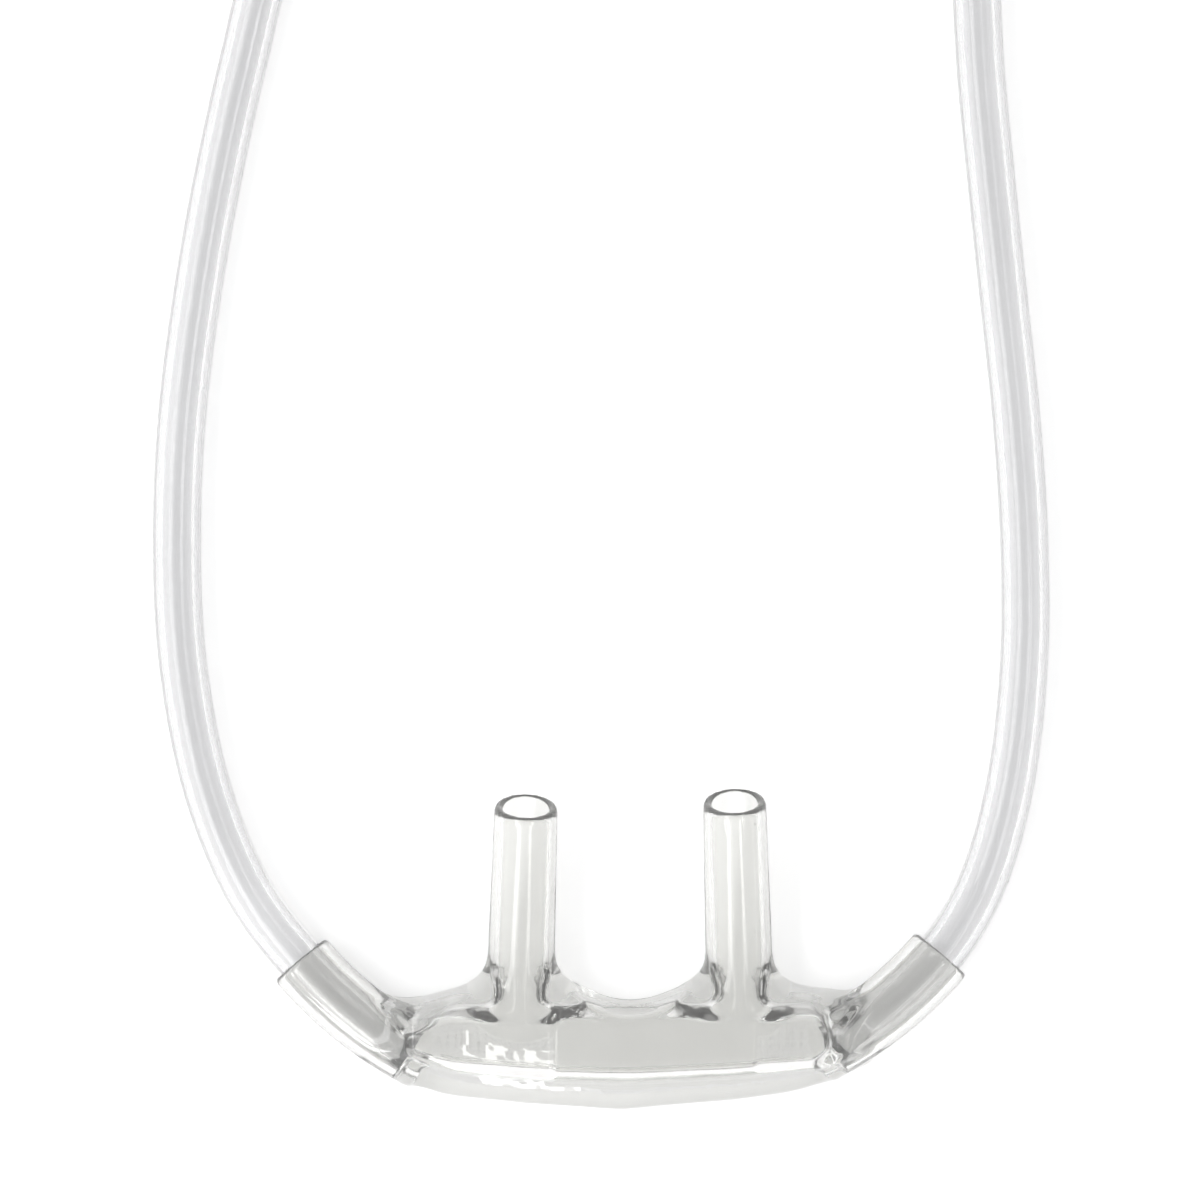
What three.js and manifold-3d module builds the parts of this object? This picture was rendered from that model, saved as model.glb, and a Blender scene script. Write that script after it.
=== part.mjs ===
// Nasal oxygen cannula, adult size, in millimetres with +Z up. The set lies flat as it is put away.
// The origin is the middle of the facepiece's footprint, +X to the right, +Y the way the prongs point.
import * as THREE from "three";
import { mergeVertices } from "three/addons/utils/BufferGeometryUtils.js";
import Module from "manifold-3d";

// Fits: the play of a tube in its socket, and the space left between pieces that only touch.
const socketPlay = 0.25;
const touchGap = 0.3;
const floorGap = 0.03;

// Headset tube and supply tube.
const headsetTube = { radius: 1.725, sides: 8, step: 5 };
const supplyTube = { radius: 2.5, sides: 8, step: 8 };

// Facepiece body: one soft moulding with a flat panel on top and a thin lip along its lower edge.
const body = {
  panelHeight: 6.0,
  panelTopY: -5.2,
  panelBottomY: -8.6,
  shoulderHeight: 3.4,
  shoulderY: -3.3,
  shoulderStep: 1.0,
  footInset: 0.9,
  footHeight: 1.2,
  creaseHeight: 2.3,
  creaseStep: 1.6,
  creaseY: -9.35,
  lipEdgeHeight: 1.0,
  lipY: -11.5,
  backY: -2.3,
  valleyY: -3.45,
  endHeight: 4.4,
  endChamfer: 2.0,
  endInset: 2.4,
  wall: 1.1,
  cavitySlope: 0.9,
};

// The body's outline from above, as curve points: the lower edge from its left end to its right end,
// then the upper edge back. The odd places of the lower edge and of the valley pull the curve.
const outline = {
  lowerEdge: [
    [-15.8, -8.95],
    [-12.0, -10.9],
    [-6.5, -11.1],
    [-2.5, -11.3],
    [0, body.lipY],
    [3.5, -11.1],
    [8, -10.8],
    [13, -10.3],
    [16.4, -8.4],
  ],
  rightEnd: [
    [17.0, -6.2],
    [15.4, -2.8],
    [11.5, body.backY],
  ],
  valley: [
    [5.2, -2.65],
    [0.7, 2 * body.valleyY - body.backY],
    [-3.8, -2.65],
  ],
  leftEnd: [
    [-10.2, body.backY],
    [-14.6, -3.4],
    [-16.4, -6.4],
  ],
};

// The prongs sit a little right of the sleeves' middle, and lean together.
const prong = {
  spacing: 15.8,
  shiftX: 0.68,
  rootY: -5.5,
  rootZ: 3.0,
  tipY: 10.35,
  tipTiltDeg: 24,
  leanDeg: 1.9,
  rootRadius: 2.43,
  tipRadius: 2.22,
  boreRadius: 1.6,
  shoulderStart: 1.4,
  filletRadius: 2.95,
  filletLength: 3.2,
  tipRound: 0.45,
};

// Sleeves: curved arms of the same moulding, each with a socket for a headset tube.
const sleeve = {
  mouthX: 22.85,
  mouthY: -0.4,
  mouthSkewY: 0.2,
  mouthHeadingDeg: 50,
  bendRadius: 28.6,
  radius: 2.4,
  length: 11.6,
  socketDepth: 10.3,
  passageRadius: 1.15,
};

// Slider on the headset pair: a short sleeve that both tubes run through.
const slider = { length: 9, wall: 1.2, restY: 119 };

// Y connector: the headset pair goes in side by side, and the supply tube comes out.
const yConnector = {
  entryY: 139.5,
  length: 22,
  slabLength: 13,
  taperLength: 5,
  socketDepth: 8,
  wall: 1.2,
  edgeRound: 1.0,
  chamberHeight: 2.4,
};

// End connector: a soft funnel that is pushed over the nipple of an oxygen outlet.
const connector = {
  x: -31,
  mouthY: 100,
  length: 36,
  socketDepth: 10,
  neckRadius: 4.0,
  rimRadius: 5.6,
  rimLength: 2.4,
  collarStart: 8,
  waistRadius: 4.5,
  hipRadius: 5.0,
  passageRadius: 1.8,
  webLength: 4,
  boreRadius: 3.25,
  mouthRadius: 3.6,
};

// Coils, each raised off the floor by the tie that is wound round it.
const tie = { thickness: 0.4, width: 5, corner: 0.3 };
const coilLift = tie.thickness + touchGap;
const lanePitch = 2 * headsetTube.radius + 0.35;
const headsetCoil = { x: 2.2, y: 109.75, innerLane: 12.2, lanes: 4 };
const supplyCoil = { x: -2.2, y: 187.5, innerRadius: 16, outerRadius: 36, levels: 4 };

const wasm = await Module();
wasm.setup();

const clearPvc = { color: 0xe4e4e2, roughness: 0.18, metalness: 0 };
const finishes = {
  moulding: new THREE.MeshStandardMaterial(clearPvc),
  tube: new THREE.MeshStandardMaterial({ ...clearPvc, color: 0xdfdfe1 }),
  fitting: new THREE.MeshStandardMaterial({ ...clearPvc, color: 0xd9dcdc, roughness: 0.25 }),
  strap: new THREE.MeshStandardMaterial({ color: 0xf4f4f2, roughness: 0.6, metalness: 0 }),
};

const set = new THREE.Group();

function addPiece(name, geometry, finish) {
  const mesh = new THREE.Mesh(geometry, finishes[finish]);
  mesh.name = name;
  set.add(mesh);
  return mesh;
}

function solidFrom(geometry) {
  const bare = geometry.clone();
  bare.deleteAttribute("normal");
  bare.deleteAttribute("uv");
  const merged = mergeVertices(bare, 1e-4);
  return new wasm.Manifold(
    new wasm.Mesh({
      numProp: 3,
      vertProperties: merged.attributes.position.array,
      triVerts: new Uint32Array(merged.index.array),
    }),
  );
}

function geometryFrom(solid) {
  const { vertProperties, triVerts } = solid.getMesh();
  const geometry = new THREE.BufferGeometry();
  geometry.setAttribute("position", new THREE.BufferAttribute(vertProperties, 3));
  geometry.setIndex(new THREE.BufferAttribute(triVerts, 1));
  geometry.computeVertexNormals();
  return geometry;
}

const joined = (...solids) => solids.reduce((sum, next) => sum.add(next));
const cut = (solid, ...tools) => tools.reduce((rest, tool) => rest.subtract(tool), solid);

function circleShape(radius, sides) {
  const corners = [];
  for (let i = 0; i < sides; i += 1) {
    const angle = ((i + 0.5) / sides) * 2 * Math.PI;
    corners.push(new THREE.Vector2(radius * Math.cos(angle), radius * Math.sin(angle)));
  }
  return new THREE.Shape(corners);
}

function tubeAlong(points, { radius, sides, step }) {
  const curve = new THREE.CatmullRomCurve3(points.map((p) => new THREE.Vector3(...p)));
  const steps = Math.max(4, Math.round(curve.getLength() / step));
  return new THREE.ExtrudeGeometry(circleShape(radius, sides), { extrudePath: curve, steps });
}

// An arc that starts at a point, heads along a unit vector and bends towards another.
function makeArc(start, heading, towards, radius) {
  return (distance) => {
    const angle = distance / radius;
    const tangent = heading.clone().multiplyScalar(Math.cos(angle));
    tangent.addScaledVector(towards, Math.sin(angle));
    const normal = towards.clone().multiplyScalar(Math.cos(angle));
    normal.addScaledVector(heading, -Math.sin(angle));
    const point = start.clone().addScaledVector(heading, radius * Math.sin(angle));
    point.addScaledVector(towards, radius * (1 - Math.cos(angle)));
    return { point, tangent, normal, side: tangent.clone().cross(normal) };
  };
}

// A turned piece whose axis follows an arc: each profile point is [radius, distance along the arc].
function bentTurning(profile, arc, sides = 20) {
  const turned = new THREE.LatheGeometry(profile.map((p) => new THREE.Vector2(...p)), sides);
  const places = turned.getAttribute("position");
  const place = new THREE.Vector3();
  for (let i = 0; i < places.count; i += 1) {
    place.fromBufferAttribute(places, i);
    const frame = arc(place.y);
    const moved = frame.point.addScaledVector(frame.side, place.x);
    moved.addScaledVector(frame.normal, place.z);
    places.setXYZ(i, moved.x, moved.y, moved.z);
  }
  return turned;
}

// A round bar from one distance to another along an arc, with rows close enough to follow it.
function bentBar(radius, from, to, arc) {
  const rows = Math.max(1, Math.ceil((to - from) / 2.2));
  const profile = [[0, from]];
  for (let i = 0; i <= rows; i += 1) profile.push([radius, from + ((to - from) * i) / rows]);
  profile.push([0, to]);
  return bentTurning(profile, arc);
}

// An outline of the XY plane pushed up from one height to another.
function pushedUp(shape, bottom, top) {
  const geometry = new THREE.ExtrudeGeometry(shape, { depth: top - bottom, bevelEnabled: false });
  return geometry.translate(0, 0, bottom);
}

// An outline of [y, z] corners pushed along X, and one of [x, z] corners pushed along Y.
function pushedAlongX(corners, from, to) {
  const shape = new THREE.Shape(corners.map((c) => new THREE.Vector2(...c)));
  const geometry = new THREE.ExtrudeGeometry(shape, { depth: to - from, bevelEnabled: false });
  geometry.rotateX(Math.PI / 2).rotateZ(Math.PI / 2);
  return geometry.translate(from, 0, 0);
}

function pushedAlongY(shape, from, to) {
  const geometry = new THREE.ExtrudeGeometry(shape, { depth: to - from, bevelEnabled: false });
  return geometry.rotateX(Math.PI / 2).translate(0, to, 0);
}

const cornersShape = (corners) => new THREE.Shape(corners.map((c) => new THREE.Vector2(...c)));

// A rectangle with round corners about a middle point.
function roundedRectangle(midX, midY, width, height, corner) {
  const shape = new THREE.Shape();
  const quarter = Math.PI / 2;
  const reachX = width / 2 - corner;
  const reachY = height / 2 - corner;
  const signs = [[1, 1], [-1, 1], [-1, -1], [1, -1]];
  signs.forEach(([signX, signY], i) => {
    const x = midX + signX * reachX;
    const y = midY + signY * reachY;
    shape.absarc(x, y, corner, i * quarter, (i + 1) * quarter, false);
  });
  return shape;
}

// Facepiece

function sleeveArc(side) {
  const heading = THREE.MathUtils.degToRad(sleeve.mouthHeadingDeg);
  const inward = new THREE.Vector3(-side * Math.cos(heading), -Math.sin(heading), 0);
  const towards = new THREE.Vector3(-side * Math.sin(heading), Math.cos(heading), 0);
  const mouthY = sleeve.mouthY + side * sleeve.mouthSkewY;
  const mouth = new THREE.Vector3(side * sleeve.mouthX, mouthY, sleeve.radius);
  return makeArc(mouth, inward, towards, sleeve.bendRadius);
}

const prongTilt = THREE.MathUtils.degToRad(prong.tipTiltDeg);
const prongBend = (prong.tipY - prong.rootY) / Math.sin(prongTilt);
const prongLength = prongBend * prongTilt;

function prongArc(side) {
  const lean = THREE.MathUtils.degToRad(prong.leanDeg);
  const rootX = prong.shiftX + side * (prong.spacing / 2);
  const root = new THREE.Vector3(rootX, prong.rootY, prong.rootZ);
  const heading = new THREE.Vector3(-side * Math.sin(lean), Math.cos(lean), 0);
  return makeArc(root, heading, new THREE.Vector3(0, 0, 1), prongBend);
}

function prongSolid(side) {
  const neck = prong.shoulderStart;
  const profile = [
    [0, 0],
    [prong.filletRadius, 0],
    [prong.filletRadius, neck],
  ];
  const rows = 4;
  for (let i = 1; i <= rows; i += 1) {
    const angle = ((i / rows) * Math.PI) / 2;
    const radius =
      prong.rootRadius + (prong.filletRadius - prong.rootRadius) * (1 - Math.sin(angle));
    profile.push([radius, neck + prong.filletLength * (1 - Math.cos(angle))]);
  }
  const taperStart = neck + prong.filletLength;
  const taperEnd = prongLength - prong.tipRound;
  const steps = 5;
  for (let i = 1; i <= steps; i += 1) {
    const share = i / steps;
    profile.push([
      THREE.MathUtils.lerp(prong.rootRadius, prong.tipRadius, share),
      THREE.MathUtils.lerp(taperStart, taperEnd, share),
    ]);
  }
  profile.push([prong.tipRadius - prong.tipRound, prongLength], [0, prongLength]);
  return solidFrom(bentTurning(profile, prongArc(side)));
}

function bodyPlan() {
  const { lowerEdge, rightEnd, valley, leftEnd } = outline;
  const plan = new THREE.Shape();
  plan.moveTo(...lowerEdge[0]);
  for (let i = 1; i < lowerEdge.length; i += 2) {
    plan.quadraticCurveTo(...lowerEdge[i], ...lowerEdge[i + 1]);
  }
  rightEnd.forEach((corner) => plan.lineTo(...corner));
  plan.lineTo(...valley[0]);
  plan.quadraticCurveTo(...valley[1], ...valley[2]);
  leftEnd.forEach((corner) => plan.lineTo(...corner));
  return plan;
}

const [leftEndX, rightEndX] = [outline.leftEnd.at(-1)[0], outline.rightEnd[0][0]];

function bodySolid() {
  const { lipY, backY, creaseY, creaseHeight, shoulderY, shoulderHeight, panelHeight } = body;
  const section = [
    [lipY, 0],
    [backY - body.footInset, 0],
    [backY, body.footHeight],
    [shoulderY + body.shoulderStep, shoulderHeight - body.footHeight / 2],
    [shoulderY, shoulderHeight + body.shoulderStep],
    [body.panelTopY, panelHeight],
    [body.panelBottomY, panelHeight],
    [creaseY, creaseHeight + body.creaseStep],
    [creaseY, creaseHeight],
    [lipY, body.lipEdgeHeight],
  ];
  const front = [
    [leftEndX, 0],
    [rightEndX, 0],
    [rightEndX, body.endHeight],
    [rightEndX - body.endChamfer, panelHeight],
    [leftEndX + body.endChamfer, panelHeight],
    [leftEndX, body.endHeight],
  ];
  const upright = solidFrom(pushedUp(bodyPlan(), 0, panelHeight));
  const along = solidFrom(pushedAlongX(section, 2 * leftEndX, 2 * rightEndX));
  const across = solidFrom(pushedAlongY(cornersShape(front), 2 * lipY, -lipY));
  return upright.intersect(along).intersect(across);
}

function cavitySolid() {
  const { wall, cavitySlope, creaseY, shoulderY } = body;
  const section = [
    [creaseY + cavitySlope, wall],
    [shoulderY - wall, wall],
    [shoulderY - wall, body.shoulderHeight],
    [body.panelTopY - wall / 5, body.panelHeight - wall],
    [body.panelBottomY + wall / 3, body.panelHeight - wall],
    [creaseY + cavitySlope, body.creaseHeight + cavitySlope],
  ];
  const inset = body.endInset;
  return solidFrom(pushedAlongX(section, leftEndX + inset, rightEndX - inset));
}

function facepiece() {
  const sides = [-1, 1];
  const outside = joined(
    bodySolid(),
    ...sides.map(prongSolid),
    ...sides.map((side) => solidFrom(bentBar(sleeve.radius, 0, sleeve.length, sleeveArc(side)))),
  );
  const bores = sides.map((side) =>
    solidFrom(bentBar(prong.boreRadius, 1.2, prongLength + 1, prongArc(side))),
  );
  const socketRadius = headsetTube.radius + socketPlay;
  const socketEnd = sleeve.socketDepth + touchGap;
  const sockets = sides.map((side) =>
    solidFrom(bentBar(socketRadius, -1, socketEnd, sleeveArc(side))),
  );
  const passages = sides.map((side) =>
    solidFrom(bentBar(sleeve.passageRadius, socketEnd - 0.5, sleeve.length + 0.8, sleeveArc(side))),
  );
  return cut(outside, cavitySolid(), ...bores, ...sockets, ...passages);
}

// Headset tubes

const headsetRestZ = headsetTube.radius + floorGap;
const pairX = 31.6;
const pairZ = headsetTube.radius + touchGap + slider.wall + floorGap;
const crossingZ = coilLift + 3 * headsetTube.radius + 1.3 * touchGap;

function socketPoints(side) {
  const arc = sleeveArc(side);
  const places = [sleeve.socketDepth, 6.9, 3.4, 0].map((distance) => arc(distance).point);
  return places.map((place) => place.toArray());
}

const leftRoute = [
  ...socketPoints(-1),
  [-25.3, 2.4, 2.3],
  [-27.2, 5.6, 2.0],
  [-29.6, 12.0, headsetRestZ],
  [-31.2, 20.6, headsetRestZ],
  [-31.6, 29.2, headsetRestZ],
  [-31.25, 37.75, headsetRestZ],
  [-30.2, 46.3, headsetRestZ],
  [-28.7, 54.9, headsetRestZ],
  [-26.8, 63.5, headsetRestZ],
  [-25.0, 70.2, headsetRestZ],
  [-22.0, 75.0, headsetRestZ],
  [-17.0, 78.4, headsetRestZ],
  [-11.0, 79.4, headsetRestZ],
  [-2.0, 79.4, headsetRestZ],
  [7.0, 79.4, headsetRestZ],
  [14.5, 81.4, headsetRestZ],
  [20.0, 86.9, headsetRestZ],
  [21.2, 89.6, headsetRestZ + 0.1],
];

const rightRoute = [
  ...socketPoints(1),
  [24.55, 2.3, 2.3],
  [26.1, 5.6, 2.0],
  [27.8, 12.0, headsetRestZ],
  [28.75, 20.6, headsetRestZ],
  [28.75, 29.2, headsetRestZ],
  [28.2, 37.75, headsetRestZ],
  [27.3, 46.3, headsetRestZ],
  [26.4, 54.9, headsetRestZ],
  [25.6, 63.5, headsetRestZ],
  [25.2, 75.0, headsetRestZ],
  [25.5, 86.0, headsetRestZ + 0.1],
  [25.8, 95.9, headsetRestZ + 0.4],
];

// The tails leave the coil's inner lanes over its top, pass over the tubes that come in, come down
// to the slider and end in the Y connector.
const leftTail = [
  [4.0, 97.55, crossingZ],
  [10.0, 97.55, crossingZ],
  [15.4, 97.55, crossingZ],
  [19.8, 98.25, crossingZ],
  [25.0, 101.2, crossingZ],
  [28.45, 106.0, crossingZ - 0.1],
  [29.7, 111.9, 4.8],
  [29.7, 115.2, 3.8],
  [29.7, 118.6, pairZ],
  [29.7, 124.0, pairZ],
  [29.7, 130.0, pairZ],
  [29.7, 136.0, pairZ],
  [29.7, 142.0, pairZ],
  [29.7, 147.2, pairZ],
];

const rightTail = [
  [4.0, 93.75, crossingZ],
  [10.0, 93.75, crossingZ],
  [15.4, 93.75, crossingZ],
  [21.0, 94.65, crossingZ],
  [27.5, 98.4, crossingZ],
  [31.9, 104.5, crossingZ],
  [33.5, 111.9, 4.8],
  [33.5, 115.2, 3.8],
  [33.5, 118.6, pairZ],
  [33.5, 124.0, pairZ],
  [33.5, 130.0, pairZ],
  [33.5, 136.0, pairZ],
  [33.5, 142.0, pairZ],
  [33.5, 147.2, pairZ],
];

// Slider, Y connector, end connector and ties

const pairWidth = lanePitch + 2 * headsetTube.radius;

function sliderSolid() {
  const boreHeight = 2 * (headsetTube.radius + touchGap);
  const boreWidth = pairWidth + 2 * touchGap;
  const height = boreHeight + 2 * slider.wall;
  const width = boreWidth + 2 * slider.wall;
  const outline = roundedRectangle(0, 0, width, height, height / 2 - 0.01);
  outline.holes.push(roundedRectangle(0, 0, boreWidth, boreHeight, boreHeight / 2 - 0.01));
  const geometry = new THREE.ExtrudeGeometry(outline, {
    depth: slider.length,
    bevelEnabled: false,
    curveSegments: 8,
  });
  return geometry.rotateX(Math.PI / 2).translate(0, slider.length, 0);
}

const supplySocketRadius = supplyTube.radius + socketPlay;
const collarRadius = supplySocketRadius + yConnector.wall;
const leadZ = collarRadius + floorGap;

function straightBar(radius, fromY, toY, x, z) {
  const bar = new THREE.CylinderGeometry(radius, radius, toY - fromY, 20);
  return solidFrom(bar.translate(x, (fromY + toY) / 2, z));
}

function yConnectorSolid() {
  const { entryY, length, slabLength, taperLength, socketDepth, wall, edgeRound } = yConnector;
  const exitY = entryY + length;
  const socketRadius = headsetTube.radius + socketPlay;
  const slabWidth = lanePitch + 2 * (socketRadius + wall);
  const slabHeight = 2 * (socketRadius + wall) - 0.2;
  const half = slabWidth / 2 - edgeRound;
  const slabTop = entryY + slabLength - edgeRound;
  const plan = cornersShape([
    [pairX - half, entryY + edgeRound],
    [pairX + half, entryY + edgeRound],
    [pairX + half, slabTop - taperLength],
    [pairX + collarRadius - edgeRound, slabTop],
    [pairX - collarRadius + edgeRound, slabTop],
    [pairX - half, slabTop - taperLength],
  ]);
  const slab = new THREE.ExtrudeGeometry(plan, {
    depth: slabHeight - 2 * edgeRound,
    bevelEnabled: true,
    bevelThickness: edgeRound,
    bevelSize: edgeRound,
    bevelSegments: 3,
  });
  slab.translate(0, 0, pairZ - slabHeight / 2 + edgeRound);
  const collarStart = entryY + slabLength - taperLength;
  const outside = joined(
    solidFrom(slab),
    straightBar(collarRadius, collarStart, exitY, pairX, leadZ),
  );
  const laneX = [pairX - lanePitch / 2, pairX + lanePitch / 2];
  const sockets = laneX.map((x) =>
    straightBar(socketRadius, entryY - 1, entryY + socketDepth, x, pairZ),
  );
  const chamberEnd = exitY - socketDepth + 0.5;
  const chamberStart = entryY + socketDepth - 0.5;
  const chamber = new THREE.BoxGeometry(
    lanePitch + socketRadius,
    chamberEnd - chamberStart,
    yConnector.chamberHeight,
  );
  chamber.translate(pairX, (chamberStart + chamberEnd) / 2, pairZ);
  const supplySocket = straightBar(
    supplySocketRadius,
    exitY - socketDepth,
    exitY + 1,
    pairX,
    leadZ,
  );
  return cut(outside, solidFrom(chamber), supplySocket, ...sockets);
}

function connectorSolid() {
  const { length, rimLength, collarStart, rimRadius, neckRadius } = connector;
  const profile = [
    [supplySocketRadius, 0],
    [neckRadius, 0],
    [neckRadius, collarStart],
    [rimRadius, collarStart],
    [rimRadius, collarStart + rimLength],
    [connector.waistRadius, collarStart + rimLength],
    [connector.hipRadius, length - rimLength - 1.2],
    [rimRadius, length - rimLength],
    [rimRadius, length],
    [connector.mouthRadius, length],
    [connector.boreRadius, connector.socketDepth + connector.webLength],
    [connector.passageRadius, connector.socketDepth + connector.webLength],
    [connector.passageRadius, connector.socketDepth],
    [supplySocketRadius, connector.socketDepth],
    [supplySocketRadius, 0],
  ];
  return new THREE.LatheGeometry(profile.map((p) => new THREE.Vector2(...p)), 24);
}

function coilRing(innerRadius, outerRadius, height) {
  const profile = [
    [innerRadius, 0],
    [outerRadius, 0],
    [outerRadius, height],
    [innerRadius, height],
    [innerRadius, 0],
  ];
  const ring = new THREE.LatheGeometry(profile.map((p) => new THREE.Vector2(...p)), 48);
  return ring.rotateX(Math.PI / 2).translate(0, 0, coilLift);
}

// A strap wound once round a coil's section; its own middle is the middle of the coil's wall.
function tieLoop(wallThickness, coilHeight) {
  const innerWidth = wallThickness + 2 * touchGap;
  const innerHeight = coilHeight + 2 * touchGap;
  const grow = 2 * tie.thickness;
  const outline = roundedRectangle(
    0,
    innerHeight / 2 + tie.thickness,
    innerWidth + grow,
    innerHeight + grow,
    tie.corner + tie.thickness,
  );
  outline.holes.push(
    roundedRectangle(0, innerHeight / 2 + tie.thickness, innerWidth, innerHeight, tie.corner),
  );
  const geometry = new THREE.ExtrudeGeometry(outline, {
    depth: tie.width,
    bevelEnabled: false,
    curveSegments: 3,
  });
  return geometry.rotateX(Math.PI / 2).translate(0, tie.width / 2, 0);
}

addPiece("facepiece", geometryFrom(facepiece()), "moulding");
addPiece("headset_tube_left", tubeAlong(leftRoute, headsetTube), "tube");
addPiece("headset_tube_right", tubeAlong(rightRoute, headsetTube), "tube");

const headsetCoilHeight = 2 * headsetTube.radius;
const headsetInner = headsetCoil.innerLane - headsetTube.radius;
const headsetOuter =
  headsetCoil.innerLane + (headsetCoil.lanes - 1) * lanePitch + headsetTube.radius;
const headsetRing = addPiece(
  "headset_coil",
  coilRing(headsetInner, headsetOuter, headsetCoilHeight),
  "tube",
);
headsetRing.position.set(headsetCoil.x, headsetCoil.y, 0);

const headsetTie = addPiece(
  "headset_tie",
  tieLoop(headsetOuter - headsetInner, headsetCoilHeight),
  "strap",
);
headsetTie.position.set(headsetCoil.x - (headsetInner + headsetOuter) / 2, headsetCoil.y, 0);

addPiece("headset_tail_left", tubeAlong(leftTail, headsetTube), "tube");
addPiece("headset_tail_right", tubeAlong(rightTail, headsetTube), "tube");

const sliderMesh = addPiece("slider", sliderSolid(), "fitting");
sliderMesh.position.set(pairX, slider.restY, pairZ);
addPiece("y_connector", geometryFrom(yConnectorSolid()), "fitting");

const supplyHeight = 2 * supplyTube.radius * supplyCoil.levels + 0.2;
const supplyRing = addPiece(
  "supply_coil",
  coilRing(supplyCoil.innerRadius, supplyCoil.outerRadius, supplyHeight),
  "tube",
);
supplyRing.position.set(supplyCoil.x, supplyCoil.y, 0);

const supplyWall = supplyCoil.outerRadius - supplyCoil.innerRadius;
const supplyTie = addPiece("supply_tie", tieLoop(supplyWall, supplyHeight), "strap");
supplyTie.rotation.z = Math.PI / 2;
const supplyTieY = supplyCoil.y + (supplyCoil.innerRadius + supplyCoil.outerRadius) / 2;
supplyTie.position.set(supplyCoil.x, supplyTieY, 0);

const leadStart = yConnector.entryY + yConnector.length - yConnector.socketDepth + touchGap;
const leadRoute = [
  [pairX, leadStart, leadZ],
  [pairX, 159.0, leadZ],
  [31.5, 164.0, leadZ - 0.3],
  [31.4, 168.2, leadZ - 0.6],
];
addPiece("supply_lead", tubeAlong(leadRoute, { ...supplyTube, step: 4 }), "tube");

const connectorTubeEnd = connector.mouthY + connector.length - connector.socketDepth + touchGap;
const connectorZ = connector.rimRadius + floorGap;
const supplyTail = [
  [-35.2, 167.2, 14.5],
  [-34.5, 162.0, 12.4],
  [-33.1, 156.0, 9.9],
  [-31.8, 150.0, 7.8],
  [-31.1, 144.0, 6.2],
  [connector.x, 139.0, connectorZ],
  [connector.x, 133.0, connectorZ],
  [connector.x, connectorTubeEnd, connectorZ],
];
addPiece("supply_tail", tubeAlong(supplyTail, { ...supplyTube, step: 4 }), "tube");

const endConnector = addPiece("end_connector", connectorSolid(), "fitting");
endConnector.rotation.z = Math.PI;
endConnector.position.set(connector.x, connector.mouthY + connector.length, connectorZ);

export default set;
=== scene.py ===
# %% [markdown]
# # A nasal oxygen cannula, dressed
#
# The set is made of soft, clear PVC: one hollow moulding with two prongs for the face, a pair of thin
# tubes that go over the ears, a slider, a Y connector, and a long supply tube with a funnel at its end.
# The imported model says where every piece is. This lesson gives each piece its fine surface and its
# finish, and it starts with the camera and the tubes, because they set how much room the rest has.

# %% Load the frame
import math

import bmesh
import bpy
import numpy as np
from mathutils import Matrix, Vector


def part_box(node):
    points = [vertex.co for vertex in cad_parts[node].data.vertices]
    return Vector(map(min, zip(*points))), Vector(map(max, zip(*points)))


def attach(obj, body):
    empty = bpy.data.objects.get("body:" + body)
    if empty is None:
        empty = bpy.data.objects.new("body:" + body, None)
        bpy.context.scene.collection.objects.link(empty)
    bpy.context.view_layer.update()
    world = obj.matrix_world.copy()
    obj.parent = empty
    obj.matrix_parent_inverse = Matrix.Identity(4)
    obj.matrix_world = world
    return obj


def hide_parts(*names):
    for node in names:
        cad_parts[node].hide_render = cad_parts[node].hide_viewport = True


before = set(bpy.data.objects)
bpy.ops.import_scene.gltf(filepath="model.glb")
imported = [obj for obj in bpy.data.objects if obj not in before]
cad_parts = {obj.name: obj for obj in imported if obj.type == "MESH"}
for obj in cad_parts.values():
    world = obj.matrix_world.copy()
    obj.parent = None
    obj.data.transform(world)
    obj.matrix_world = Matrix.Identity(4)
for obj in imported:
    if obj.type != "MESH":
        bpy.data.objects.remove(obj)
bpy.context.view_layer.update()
print("nodes:", ", ".join(sorted(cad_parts)))

# %% [markdown]
# ## The camera
#
# The photograph looks straight down from far away, so the prongs show almost no perspective. A long
# lens at 0.6 m gives that. The picture is 1200 pixels wide, and 14 of them make a millimetre.

# %% Camera over the facepiece
PICTURE_SIDE = 1200
PIXELS_PER_METRE = 14000
ORIGIN_PIXEL = (620.5, 948.5)
CAMERA_HEIGHT = 0.6

view_width = PICTURE_SIDE / PIXELS_PER_METRE
camera_data = bpy.data.cameras.new("overhead_camera")
camera_data.lens = camera_data.sensor_width * CAMERA_HEIGHT / view_width
camera_data.clip_start = 0.01
camera = bpy.data.objects.new("overhead_camera", camera_data)
camera.location = (
    (PICTURE_SIDE / 2 - ORIGIN_PIXEL[0]) / PIXELS_PER_METRE,
    (ORIGIN_PIXEL[1] - PICTURE_SIDE / 2) / PIXELS_PER_METRE,
    CAMERA_HEIGHT,
)
bpy.context.scene.collection.objects.link(camera)
bpy.context.scene.camera = camera
print(f"lens {camera_data.lens:.0f} mm, {1000 * view_width:.1f} mm of the floor in view")

# %% [markdown]
# ## Routes of the tubes
#
# A tube is a fixed length of something springy, so its route comes first and its mesh follows it. The
# loose stretches are a few listed points, and a coil's turns come from a loop. One smooth
# curve then runs through all the points. A Blender curve object could carry a bevel, but it would make
# a solid rod: these tubes are seen through, so each one needs its bore.

# %% Smooth curves through points
def unit(vector):
    return np.asarray(vector, float) / np.linalg.norm(vector)


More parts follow.
